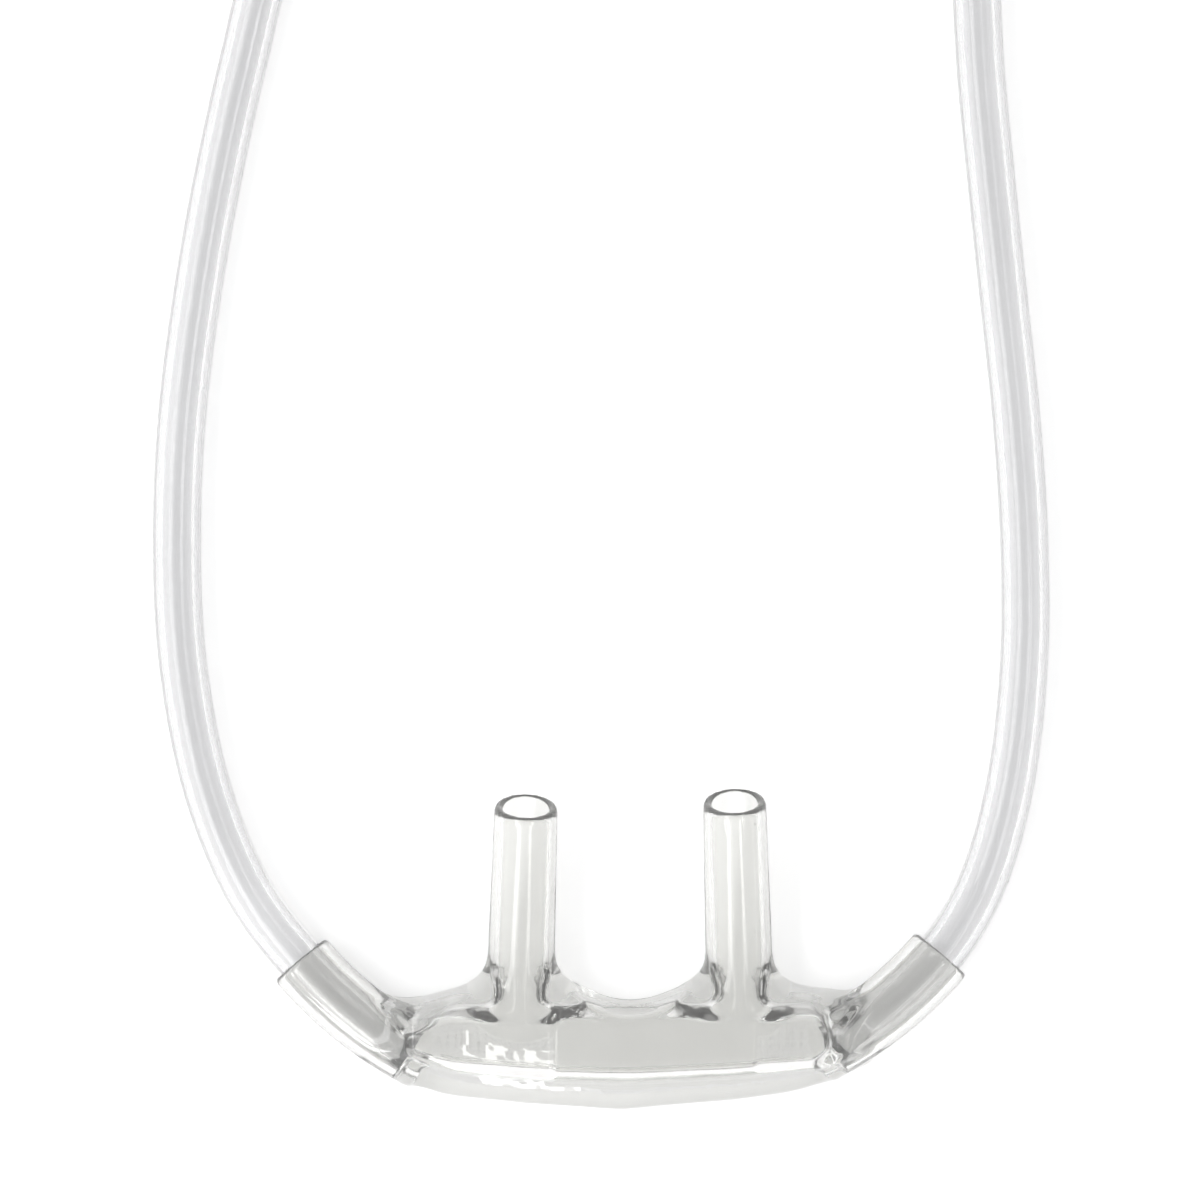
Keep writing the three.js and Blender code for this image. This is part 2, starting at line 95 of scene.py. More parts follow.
def smooth_curve(points, step):
    """A centripetal Catmull-Rom curve through the points, in even steps of about this length."""
    points = np.asarray(points, float)
    padded = np.vstack([2 * points[0] - points[1], points, 2 * points[-1] - points[-2]])
    pieces = []
    for a, b, c, d in zip(padded, padded[1:], padded[2:], padded[3:]):
        t1 = np.linalg.norm(b - a) ** 0.5
        t2 = t1 + np.linalg.norm(c - b) ** 0.5
        t3 = t2 + np.linalg.norm(d - c) ** 0.5
        count = max(2, int(np.linalg.norm(c - b) / step * 3))
        t = np.linspace(t1, t2, count, endpoint=False)[:, None]
        ab = (t1 - t) / t1 * a + t / t1 * b
        bc = (t2 - t) / (t2 - t1) * b + (t - t1) / (t2 - t1) * c
        cd = (t3 - t) / (t3 - t2) * c + (t - t2) / (t3 - t2) * d
        abc = (t2 - t) / t2 * ab + t / t2 * bc
        bcd = (t3 - t) / (t3 - t1) * bc + (t - t1) / (t3 - t1) * cd
        pieces.append((t2 - t) / (t2 - t1) * abc + (t - t1) / (t2 - t1) * bcd)
    dense = np.vstack([*pieces, points[-1:]])
    reach = np.concatenate([[0], np.cumsum(np.linalg.norm(np.diff(dense, axis=0), axis=1))])
    even = np.linspace(0, reach[-1], max(4, round(reach[-1] / step)) + 1)
    return np.stack([np.interp(even, reach, dense[:, axis]) for axis in range(3)], axis=1)


def curve_length(path):
    return float(np.linalg.norm(np.diff(path, axis=0), axis=1).sum())


def ease(value, start, end):
    """0 before the start, 1 after the end, and a smooth step between them."""
    share = np.clip((value - start) / (end - start), 0, 1)
    return share * share * (3 - 2 * share)


class Arc:
    """A round bend: it starts at a point, heads one way and bends towards another."""

    def __init__(self, start, heading, towards, radius):
        self.heading, self.towards, self.radius = unit(heading), unit(towards), radius
        self.side = np.cross(self.heading, self.towards)
        self.centre = np.asarray(start, float) + radius * self.towards

    def point(self, distance):
        angle = distance / self.radius
        out = math.sin(angle) * self.heading - math.cos(angle) * self.towards
        return self.centre + self.radius * out

    def coordinates(self, x, y, z):
        """The distance along the bend and the distance from its line, for arrays of places."""
        offset = [x - self.centre[0], y - self.centre[1], z - self.centre[2]]
        along = sum(o * h for o, h in zip(offset, self.heading))
        below = -sum(o * t for o, t in zip(offset, self.towards))
        aside = sum(o * s for o, s in zip(offset, self.side))
        outward = np.hypot(along, below) - self.radius
        return self.radius * np.arctan2(along, below), np.hypot(outward, aside)


# %% [markdown]
# ## The headset tubes
#
# Each one is held in a curved sleeve of the facepiece, rises out of it onto the floor, and runs up the
# picture. What the photograph doesn't show is put away in one flat coil, with both tubes side by side,
# two turns each. They come out over the top of the coil and go through the slider to the Y connector.

# %% Sizes that the tubes and the moulding share
HEADSET_RADIUS = 0.001725
HEADSET_BORE = 0.00105
SUPPLY_RADIUS = 0.0025
SUPPLY_BORE = 0.0016
Y_SOCKET_DEPTH = 0.008

SLEEVE_RADIUS = 0.0024
SLEEVE_LENGTH = 0.0116
SOCKET_DEPTH = 0.0103
SLEEVE_MOUTH_X = 0.02285
SLEEVE_MOUTH_Y = -0.0004
SLEEVE_SKEW_Y = 0.0002
SLEEVE_HEADING = math.radians(50)
SLEEVE_BEND = 0.0286
SOCKET_PLACES = (SOCKET_DEPTH, 0.0069, 0.0034, 0)


def sleeve_arc(side):
    """The line of a sleeve, from its mouth inwards. Side is -1 on the left and 1 on the right."""
    mouth = (side * SLEEVE_MOUTH_X, SLEEVE_MOUTH_Y + side * SLEEVE_SKEW_Y, SLEEVE_RADIUS)
    inward = (-side * math.cos(SLEEVE_HEADING), -math.sin(SLEEVE_HEADING), 0)
    towards = (-side * math.sin(SLEEVE_HEADING), math.cos(SLEEVE_HEADING), 0)
    return Arc(mouth, inward, towards, SLEEVE_BEND)


print("sleeve mouths:", [np.round(sleeve_arc(side).point(0), 4).tolist() for side in (-1, 1)])


# %% Points of the headset tubes
REST = HEADSET_RADIUS + 0.00003
LANE_Z = 0.002425
CROSSING_Z = 0.006265
PAIR_Z = 0.003255
PAIR_X = 0.0316
LANE_PITCH = 0.0038

LEFT_ROUTE = [
    (-0.0253, 0.0024, 0.0023), (-0.0272, 0.0056, 0.0020), (-0.0296, 0.0120, REST),
    (-0.0312, 0.0206, REST), (-0.0316, 0.0292, REST), (-0.03125, 0.03775, REST),
    (-0.0302, 0.0463, REST), (-0.0287, 0.0549, REST), (-0.0268, 0.0635, REST),
    (-0.0250, 0.0702, REST), (-0.0220, 0.0750, REST), (-0.0170, 0.0784, REST),
    (-0.0110, 0.0794, REST), (-0.0020, 0.0794, REST), (0.0070, 0.0794, REST),
    (0.0145, 0.0814, REST), (0.0200, 0.0869, REST), (0.0212, 0.0896, REST + 0.0001),
    (0.0219, 0.0950, 0.00215), (0.0220, 0.1020, LANE_Z),
]
RIGHT_ROUTE = [
    (0.02455, 0.0023, 0.0023), (0.0261, 0.0056, 0.0020), (0.0278, 0.0120, REST),
    (0.02875, 0.0206, REST), (0.02875, 0.0292, REST), (0.0282, 0.03775, REST),
    (0.0273, 0.0463, REST), (0.0264, 0.0549, REST), (0.0256, 0.0635, REST),
    (0.0252, 0.0750, REST), (0.0255, 0.0860, REST + 0.0001), (0.0258, 0.0959, 0.002155),
    (0.0258, 0.1025, LANE_Z),
]
LEFT_TAIL = [
    (0.0040, 0.09755, CROSSING_Z), (0.0100, 0.09755, CROSSING_Z),
    (0.0154, 0.09755, CROSSING_Z), (0.0198, 0.09825, CROSSING_Z),
    (0.0250, 0.1012, CROSSING_Z), (0.02845, 0.1060, CROSSING_Z - 0.0001),
    (0.0297, 0.1119, 0.0048), (0.0297, 0.1152, 0.0038), (0.0297, 0.1186, PAIR_Z),
    (0.0297, 0.1240, PAIR_Z), (0.0297, 0.1300, PAIR_Z), (0.0297, 0.1360, PAIR_Z),
    (0.0297, 0.1420, PAIR_Z), (0.0297, 0.1472, PAIR_Z),
]
RIGHT_TAIL = [
    (0.0040, 0.09375, CROSSING_Z), (0.0100, 0.09375, CROSSING_Z),
    (0.0154, 0.09375, CROSSING_Z), (0.0210, 0.09465, CROSSING_Z),
    (0.0275, 0.0984, CROSSING_Z), (0.0319, 0.1045, CROSSING_Z),
    (0.0335, 0.1119, 0.0048), (0.0335, 0.1152, 0.0038), (0.0335, 0.1186, PAIR_Z),
    (0.0335, 0.1240, PAIR_Z), (0.0335, 0.1300, PAIR_Z), (0.0335, 0.1360, PAIR_Z),
    (0.0335, 0.1420, PAIR_Z), (0.0335, 0.1472, PAIR_Z),
]
print("points out of the sleeves:", len(LEFT_ROUTE), len(RIGHT_ROUTE))

# %% Two turns in the flat coil
HEADSET_COIL = (0.0022, 0.10975)
OUTER_LANES = {-1: 0.0198, 1: 0.0236}
STEP_IN = 2 * LANE_PITCH
DEGREES_A_POINT = 10
COIL_DEGREES = 630
HEADSET_STEP = 0.0014


def round_and_up(centre, degrees, radius, height):
    turn = math.radians(degrees)
    return (centre[0] + radius * math.cos(turn), centre[1] + radius * math.sin(turn), height)


def headset_coil_points(side):
    """Once round the outer lanes, in by two lanes, once more round, and up over the top."""
    points = []
    for degrees in range(0, COIL_DEGREES + 1, DEGREES_A_POINT):
        radius = OUTER_LANES[side] - STEP_IN * ease(degrees, 250, 350)
        height = LANE_Z + (CROSSING_Z - LANE_Z) * ease(degrees, 560, 625)
        points.append(round_and_up(HEADSET_COIL, degrees, radius, height))
    return points


def headset_path(side):
    arc = sleeve_arc(side)
    socket = [arc.point(distance) for distance in SOCKET_PLACES]
    route = LEFT_ROUTE if side < 0 else RIGHT_ROUTE
    tail = LEFT_TAIL if side < 0 else RIGHT_TAIL
    return smooth_curve([*socket, *route, *headset_coil_points(side), *tail], HEADSET_STEP)


headset_paths = {side: headset_path(side) for side in (-1, 1)}
for side, path in headset_paths.items():
    print("headset", "left" if side < 0 else "right", f"{curve_length(path):.3f} m")

# %% [markdown]
# ## The supply tube
#
# About 2.1 m of thicker tube, nearly all of it out of the picture. It goes out of the Y connector into
# a neat round coil with four levels of three turns, in and out by turns so that it never crosses
# itself, and leaves over the far side, down to the funnel that fits an oxygen outlet.

# %% Levels of the supply coil
SUPPLY_COIL = (-0.0022, 0.1875)
LANE_OUT = 0.0335
LANE_IN = 0.0185
LEVELS = 4
TURNS_A_LEVEL = 3
RAMP_DEGREES = 60
LEVEL_Z = 0.0032
LEVEL_STEP = 0.00505
SUPPLY_STEP = 0.002

LEAD_Z = 0.00398
LEAD_ROUTE = [
    (PAIR_X, 0.1538, LEAD_Z), (PAIR_X, 0.1590, LEAD_Z), (0.0315, 0.1640, LEAD_Z - 0.0003),
    (0.0314, 0.1682, LEAD_Z - 0.0006), (0.0313, 0.1770, LEVEL_Z),
]
CONNECTOR_X = -0.031
CONNECTOR_Z = 0.00563
SUPPLY_TAIL = [
    (-0.0352, 0.1672, 0.0145), (-0.0345, 0.1620, 0.0124), (-0.0331, 0.1560, 0.0099),
    (-0.0318, 0.1500, 0.0078), (-0.0311, 0.1440, 0.0062), (CONNECTOR_X, 0.1390, CONNECTOR_Z),
    (CONNECTOR_X, 0.1330, CONNECTOR_Z), (CONNECTOR_X, 0.1263, CONNECTOR_Z),
]


def supply_coil_points():
    points = []
    start = 0
    for level in range(LEVELS):
        first, last = (LANE_OUT, LANE_IN) if level % 2 == 0 else (LANE_IN, LANE_OUT)
        height = LEVEL_Z + level * LEVEL_STEP
        sweep = 360 * TURNS_A_LEVEL
        for degrees in range(0, sweep + 1, DEGREES_A_POINT):
            radius = first + (last - first) * degrees / sweep
            points.append(round_and_up(SUPPLY_COIL, start + degrees, radius, height))
        start += sweep
        if level < LEVELS - 1:
            for degrees in range(DEGREES_A_POINT, RAMP_DEGREES, DEGREES_A_POINT):
                climb = height + LEVEL_STEP * ease(degrees, 0, RAMP_DEGREES)
                points.append(round_and_up(SUPPLY_COIL, start + degrees, last, climb))
            start += RAMP_DEGREES
    return points


top_z = LEVEL_Z + (LEVELS - 1) * LEVEL_STEP
drop = [(-0.0357, 0.1840, top_z - 0.0002), (-0.0356, 0.1785, top_z - 0.0010),
        (-0.0355, 0.1728, top_z - 0.0023)]
supply_route = [*LEAD_ROUTE, *supply_coil_points(), *drop, *SUPPLY_TAIL]
supply_path = smooth_curve(supply_route, SUPPLY_STEP)
print(f"supply tube {curve_length(supply_path):.3f} m")

# %% [markdown]
# ## Clear, soft PVC
#
# Plasticised PVC is a greyish, slightly milky glass. Light goes through it, so what shows is what
# lies under it, the streaks of the lamps, and the darker lines where a wall is seen on edge. A tint on
# the surface alone would leave thick places as light as thin ones. So the shader is a smooth
# Principled glass with a little diffuse share, and a Volume Absorption takes off light by depth.
# Three small node groups give it what a plain glass lacks: a cloudy tint, flow ripples from the mould
# or the die, and a few specks of dust.

# %% Node helpers
def new_group(name, inputs, outputs):
    """A shader node group, from (name, default) pairs and (name, socket type) pairs."""
    group = bpy.data.node_groups.new(name, "ShaderNodeTree")
    for socket_name, default in inputs:
        colour = isinstance(default, tuple)
        kind = "NodeSocketColor" if colour else "NodeSocketFloat"
        socket = group.interface.new_socket(socket_name, in_out="INPUT", socket_type=kind)
        socket.default_value = default
    for socket_name, kind in outputs:
        group.interface.new_socket(socket_name, in_out="OUTPUT", socket_type=kind)
    nodes = group.nodes
    return group, nodes.new("NodeGroupInput"), nodes.new("NodeGroupOutput")


def maths(group, operation, first, second):
    """A Math node: each operand is a number or an output socket."""
    node = group.nodes.new("ShaderNodeMath")
    node.operation = operation
    for place, operand in enumerate((first, second)):
        if isinstance(operand, (int, float)):
            node.inputs[place].default_value = operand
        else:
            group.links.new(operand, node.inputs[place])
    return node.outputs[0]


def noise(group, vector, scale, detail=2.0):
    node = group.nodes.new("ShaderNodeTexNoise")
    node.inputs["Detail"].default_value = detail
    group.links.new(vector, node.inputs["Vector"])
    if isinstance(scale, (int, float)):
        node.inputs["Scale"].default_value = scale
    else:
        group.links.new(scale, node.inputs["Scale"])
    return node.outputs["Fac"]


# %% Group: cloudy tint
def make_clouding():
    group, entry, leave = new_group(
        "Clouding",
        [("Clear", (0.9, 0.9, 0.9, 1)), ("Milky", (0.8, 0.8, 0.8, 1)), ("Scale", 120.0),
         ("Roughness", 0.08), ("Roughness Spread", 0.05)],
        [("Color", "NodeSocketColor"), ("Roughness", "NodeSocketFloat")],
    )
    place = group.nodes.new("ShaderNodeTexCoord").outputs["Object"]
    cloud = noise(group, place, entry.outputs["Scale"], 3.0)
    spread = group.nodes.new("ShaderNodeMapRange")
    spread.inputs["From Min"].default_value = 0.3
    spread.inputs["From Max"].default_value = 0.7
    group.links.new(cloud, spread.inputs["Value"])
    mix = group.nodes.new("ShaderNodeMix")
    mix.data_type = "RGBA"
    group.links.new(spread.outputs["Result"], mix.inputs["Factor"])
    group.links.new(entry.outputs["Clear"], mix.inputs["A"])
    group.links.new(entry.outputs["Milky"], mix.inputs["B"])
    group.links.new(mix.outputs["Result"], leave.inputs["Color"])
    extra = maths(group, "MULTIPLY", spread.outputs["Result"], entry.outputs["Roughness Spread"])
    rough = maths(group, "ADD", entry.outputs["Roughness"], extra)
    group.links.new(rough, leave.inputs["Roughness"])
    return group


clouding = make_clouding()
print("group:", clouding.name, [item.name for item in clouding.interface.items_tree])


# %% Group: flow ripples, as a height
def make_ripples():
    group, entry, leave = new_group(
        "Ripples",
        [("Fine Scale", 900.0), ("Broad Scale", 160.0), ("Fine Share", 0.3)],
        [("Height", "NodeSocketFloat")],
    )
    place = group.nodes.new("ShaderNodeTexCoord").outputs["Object"]
    fine = noise(group, place, entry.outputs["Fine Scale"], 1.0)
    broad = noise(group, place, entry.outputs["Broad Scale"], 1.0)
    part = maths(group, "MULTIPLY", fine, entry.outputs["Fine Share"])
    group.links.new(maths(group, "ADD", part, broad), leave.inputs["Height"])
    return group


# %% Group: specks of dust
def make_specks():
    group, entry, leave = new_group(
        "Specks",
        [("Base", (0.9, 0.9, 0.9, 1)), ("Speck", (0.1, 0.1, 0.1, 1)), ("Scale", 400.0),
         ("Size", 0.05), ("Share", 0.1)],
        [("Color", "NodeSocketColor")],
    )
    place = group.nodes.new("ShaderNodeTexCoord").outputs["Object"]
    cells = group.nodes.new("ShaderNodeTexVoronoi")
    group.links.new(place, cells.inputs["Vector"])
    group.links.new(entry.outputs["Scale"], cells.inputs["Scale"])
    near = maths(group, "LESS_THAN", cells.outputs["Distance"], entry.outputs["Size"])
    pick = group.nodes.new("ShaderNodeSeparateColor")
    group.links.new(cells.outputs["Color"], pick.inputs["Color"])
    chosen = maths(group, "LESS_THAN", pick.outputs["Red"], entry.outputs["Share"])
    mix = group.nodes.new("ShaderNodeMix")
    mix.data_type = "RGBA"
    group.links.new(maths(group, "MULTIPLY", near, chosen), mix.inputs["Factor"])
    group.links.new(entry.outputs["Base"], mix.inputs["A"])
    group.links.new(entry.outputs["Speck"], mix.inputs["B"])
    group.links.new(mix.outputs["Result"], leave.inputs["Color"])
    return group


ripples = make_ripples()
specks = make_specks()
print("groups:", ripples.name, specks.name)


# %% A clear plastic from its groups
CLARITY = 0.92
PLASTIC_IOR = 1.5
ROUGHNESS_SPREAD = 0.04
RIPPLE_HEIGHT = 0.00002
FINE_RIPPLES = 0.3
DUST_COLOUR = (0.12, 0.11, 0.1, 1)
DUST_SHARE = 0.04


def clear_plastic(name, clear, milky, depth_tint, depth_density, roughness=0.04, cloud_scale=120):
    material = bpy.data.materials.new(name)
    material.use_nodes = True
    nodes, links = material.node_tree.nodes, material.node_tree.links
    shader = nodes["Principled BSDF"]
    shader.inputs["IOR"].default_value = PLASTIC_IOR
    shader.inputs["Transmission Weight"].default_value = CLARITY
    cloud = nodes.new("ShaderNodeGroup")
    cloud.node_tree = clouding
    cloud.inputs["Clear"].default_value = (*clear, 1)
    cloud.inputs["Milky"].default_value = (*milky, 1)
    cloud.inputs["Scale"].default_value = cloud_scale
    cloud.inputs["Roughness"].default_value = roughness
    cloud.inputs["Roughness Spread"].default_value = ROUGHNESS_SPREAD
    dust = nodes.new("ShaderNodeGroup")
    dust.node_tree = specks
    dust.inputs["Speck"].default_value = DUST_COLOUR
    dust.inputs["Share"].default_value = DUST_SHARE
    flow = nodes.new("ShaderNodeGroup")
    flow.node_tree = ripples
    flow.inputs["Fine Share"].default_value = FINE_RIPPLES
    relief = nodes.new("ShaderNodeBump")
    relief.inputs["Distance"].default_value = RIPPLE_HEIGHT
    links.new(cloud.outputs["Color"], dust.inputs["Base"])
    links.new(dust.outputs["Color"], shader.inputs["Base Color"])
    links.new(cloud.outputs["Roughness"], shader.inputs["Roughness"])
    links.new(flow.outputs["Height"], relief.inputs["Height"])
    links.new(relief.outputs["Normal"], shader.inputs["Normal"])
    depth = nodes.new("ShaderNodeVolumeAbsorption")
    depth.inputs["Color"].default_value = (*depth_tint, 1)
    depth.inputs["Density"].default_value = depth_density
    links.new(depth.outputs["Volume"], nodes["Material Output"].inputs["Volume"])
    return material


moulding_pvc = clear_plastic(
    "moulding_pvc", (0.985, 0.985, 0.97), (0.965, 0.965, 0.95), (0.50, 0.50, 0.49), 60
)
tube_pvc = clear_plastic(
    "tube_pvc", (0.98, 0.98, 0.985), (0.96, 0.96, 0.965), (0.50, 0.50, 0.505), 80, cloud_scale=60
)
fitting_pvc = clear_plastic(
    "fitting_pvc", (0.95, 0.97, 0.97), (0.92, 0.94, 0.94), (0.40, 0.50, 0.50), 100, roughness=0.2
)
print("materials:", moulding_pvc.name, tube_pvc.name, fitting_pvc.name)

# %% [markdown]
# ## Tube meshes
#
# The path gets a frame that turns as little as it can from point to point, so that the tube doesn't
# twist. Two circles ride along it, the outer wall and the bore, and a flat ring closes the wall at
# each cut end.

# %% A hollow tube along a path
def path_frames(path):
    """Two directions across the path at each point, carried along without twist."""
    tangents = np.gradient(path, axis=0)
    tangents /= np.linalg.norm(tangents, axis=1)[:, None]
    across = np.cross(tangents[0], (0, 0, 1))
    rows = []
    for tangent in tangents:
        across = unit(across - tangent * (across @ tangent))
        rows.append((across, np.cross(tangent, across)))
    return np.array(rows)


def mesh_object(name, vertices, faces, material, smooth=True):
    mesh = bpy.data.meshes.new(name)
    mesh.from_pydata([tuple(v) for v in vertices], [], faces)
    mesh.validate()
    mesh.update()
    mesh.polygons.foreach_set("use_smooth", [smooth] * len(mesh.polygons))
    mesh.materials.append(material)
    piece = bpy.data.objects.new(name, mesh)
    bpy.context.scene.collection.objects.link(piece)
    return piece


def hollow_tube(name, path, radius, bore, sides):
    frames = path_frames(path)
    angles = np.linspace(0, 2 * math.pi, sides, endpoint=False)
    circle = np.stack([np.cos(angles), np.sin(angles)])
    offsets = np.einsum("ps,nsc->npc", circle.T, frames)
    walls = [path[:, None, :] + size * offsets for size in (radius, bore)]
    vertices = np.concatenate([wall.reshape(-1, 3) for wall in walls])
    count, inner = len(path), len(path) * sides
    faces = []
    for row in range(count - 1):
        for i in range(sides):
            j = (i + 1) % sides
            a, b = row * sides + i, row * sides + j
            c, d = b + sides, a + sides
            faces.append((a, b, c, d))
            faces.append((inner + d, inner + c, inner + b, inner + a))
    for row, flip in ((0, True), (count - 1, False)):
        for i in range(sides):
            j = (i + 1) % sides
            a, b = row * sides + i, row * sides + j
            ring = (a, b, inner + b, inner + a)
            faces.append(ring[::-1] if flip else ring)
    piece = mesh_object(name, vertices, faces, tube_pvc)
    print(f"{name}: {count} rows, {2 * len(faces)} triangles")
    return piece


HEADSET_SIDES = 24
SUPPLY_SIDES = 18

headset_left, headset_right = [
    hollow_tube(name, headset_paths[side], HEADSET_RADIUS, HEADSET_BORE, HEADSET_SIDES)
    for name, side in (("headset_left", -1), ("headset_right", 1))
]
supply_line = hollow_tube("supply_line", supply_path, SUPPLY_RADIUS, SUPPLY_BORE, SUPPLY_SIDES)

# %% [markdown]
# ## A toolkit for mouldings
#
# The facepiece is one soft moulding: prongs grow out of a hollow body with round fillets, and curved
# sleeves hold the tubes. Joining meshes with booleans leaves hard creases. A distance field doesn't:
# each shape is a number at every place, negative inside, and shapes melt together by a smooth
# minimum. A small blur then rounds every edge as a mould does, and the surface is where the number
# crosses zero.

# %% Distances and joins
def polygon_distance(x, y, corners):
    """Signed distance to a closed outline, negative inside, for arrays of places."""
    corners = np.asarray(corners, float)
    nearest = np.full(np.broadcast(x, y).shape, np.inf)
    inside = np.zeros(nearest.shape, bool)
    for (ax, ay), (bx, by) in zip(corners, np.roll(corners, -1, axis=0)):
        ex, ey = bx - ax, by - ay
        wx, wy = x - ax, y - ay
        share = np.clip((wx * ex + wy * ey) / (ex * ex + ey * ey), 0, 1)
        nearest = np.minimum(nearest, (wx - ex * share) ** 2 + (wy - ey * share) ** 2)
        crosses = (y < ay) != (y < by)
        if ey != 0:
            inside ^= crosses & (x < ax + ex * (y - ay) / ey)
    return np.where(inside, -1, 1) * np.sqrt(nearest)


def melt(first, second, reach):
    """A union whose crease is filled over about this reach."""
    share = np.clip(0.5 + 0.5 * (second - first) / reach, 0, 1)
    return second + (first - second) * share - reach * share * (1 - share)


def round_bar(arc, radius_at, start, end, x, y, z, corner=0.0):
    """A round bar along a bend, with a radius that may change on the way, and rounded ends."""
    along, away = arc.coordinates(x, y, z)
    sides = away - radius_at(along) + corner
    ends = np.maximum(start - along, along - end) + corner
    outside = np.hypot(np.maximum(sides, 0), np.maximum(ends, 0))
    return np.minimum(np.maximum(sides, ends), 0) + outside - corner


def cut(solid, *tools):
    for tool in tools:
        solid = np.maximum(solid, -tool)
    return solid


# %% From a field to a mesh
def blurred(field, passes):
    for _ in range(passes):
        for axis in range(3):
            padded = np.pad(field, [(1, 1) if a == axis else (0, 0) for a in range(3)], mode="edge")
            low = np.take(padded, range(0, field.shape[axis]), axis)
            high = np.take(padded, range(2, field.shape[axis] + 2), axis)
            field = 0.25 * low + 0.5 * field + 0.25 * high
    return field


def sampled(grid, places):
    """Values of a grid of numbers or vectors at places given in grid steps."""
    base = np.clip(places.astype(int), 0, np.array(grid.shape[:3]) - 2)
    share = places - base
    value = 0
    for corner in np.ndindex(2, 2, 2):
        weight = np.prod(np.where(corner, share, 1 - share), axis=1)
        picked = grid[tuple((base + corner).T)]
        value = value + (weight[:, None] * picked if picked.ndim > 1 else weight * picked)
    return value


def surface_of(field):
    """Vertices, in grid steps, and quads of the surface where the field is zero."""
    inside = field < 0
    cells = tuple(size - 1 for size in field.shape)
    total = np.zeros((*cells, 3))
    hits = np.zeros(cells)
    for axis in range(3):
        others = [a for a in range(3) if a != axis]
        for shift in np.ndindex(2, 2):
            start = [0, 0, 0]
            for other, step in zip(others, shift):
                start[other] = step
            low = tuple(slice(s, s + c) for s, c in zip(start, cells))
            end = list(start)
            end[axis] = 1
            high = tuple(slice(s, s + c) for s, c in zip(end, cells))
            crossing = inside[low] != inside[high]
            a, b = field[low], field[high]
            share = np.where(crossing, a / np.where(a == b, 1, a - b), 0)
            for other in range(3):
                offset = share if other == axis else start[other]
                total[..., other] += np.where(crossing, offset, 0)
            hits += crossing
    active = hits > 0
    numbers = np.full(cells, -1)
    numbers[active] = np.arange(active.sum())
    corners = np.argwhere(active) + total[active] / hits[active][:, None]
    quads = []
    for axis in range(3):
        u, v = (axis + 1) % 3, (axis + 2) % 3
        low = [slice(1, -1)] * 3
        low[axis] = slice(0, -1)
        high = [slice(1, -1)] * 3
        high[axis] = slice(1, None)
        a, b = inside[tuple(low)], inside[tuple(high)]
        for flip, chosen in ((False, a & ~b), (True, ~a & b)):
            base = np.argwhere(chosen) + [0 if k == axis else 1 for k in range(3)]
            ring = []
            for du, dv in ((1, 1), (0, 1), (0, 0), (1, 0)):
                place = base.copy()
                place[:, u] -= du
                place[:, v] -= dv
                ring.append(numbers[tuple(place.T)])
            quads.append(np.stack(ring[::-1] if flip else ring, axis=1))
    return corners, np.concatenate(quads)


# %% From a shape to a piece
GRID_MARGIN = 6
GRID_START = 6.25  # not a whole number, so that no flat face lies exactly on a layer of the grid
NEWTON_STEPS = 3
LONGEST_MOVE = 0.3


def moulded(name, shape, low, high, pitch, passes, material):
    """A mesh of a shape. Its vertices move onto the exact surface and take their normals from it."""
    ticks = [
        np.arange(a - GRID_START * pitch, b + GRID_MARGIN * pitch, pitch) for a, b in zip(low, high)
    ]
    x, y, z = np.ix_(*ticks)
    field = blurred(shape(x, y, z), passes)
    vertices, quads = surface_of(field)
    slope = np.stack(np.gradient(field), axis=-1)
    for _ in range(NEWTON_STEPS):
        gradient = sampled(slope, vertices)
        size = np.maximum((gradient ** 2).sum(axis=1), 1e-16)
        move = gradient * (sampled(field, vertices) / size)[:, None]
        vertices = vertices - np.clip(move, -LONGEST_MOVE, LONGEST_MOVE)
    normals = sampled(slope, vertices)
    normals /= np.linalg.norm(normals, axis=1)[:, None]
    places = vertices * pitch + [tick[0] for tick in ticks]
    piece = mesh_object(name, places, quads.tolist(), material)
    piece.data.normals_split_custom_set_from_vertices(normals)
    print(f"{name}: {len(places)} vertices, {2 * len(quads)} triangles")
    return piece


# %% [markdown]
# ## The facepiece
#
# Seen from above the body is a long, flat-topped box with sloping shoulders, a thin lip along its lower
# edge and a scooped valley between the prongs. Three curves across the picture, the lip, the crease
# above it and the back edge, place one section all along the body. The prongs rise out of the
# shoulder and bend up towards the camera.

# %% Curves and section of the body
FINE_POINTS = 241
MEAN_REACH = 6


def through(points):
    """A function of x: straight lines between points, softened by a short running mean."""
    xs, ys = np.array(points).T
    fine = np.linspace(xs[0], xs[-1], FINE_POINTS)
    straight = np.interp(fine, xs, ys)
    padded = np.pad(straight, MEAN_REACH, mode="reflect", reflect_type="odd")
    width = 2 * MEAN_REACH + 1
    soft = np.convolve(padded, np.ones(width) / width, mode="valid")
    return lambda x: np.interp(x, fine, soft)


LIP_Y = -0.0115
CREASE_Y = -0.0094
BACK_Y = -0.0023
PANEL_Z = 0.0060
LIP_EDGE_Z = 0.0010

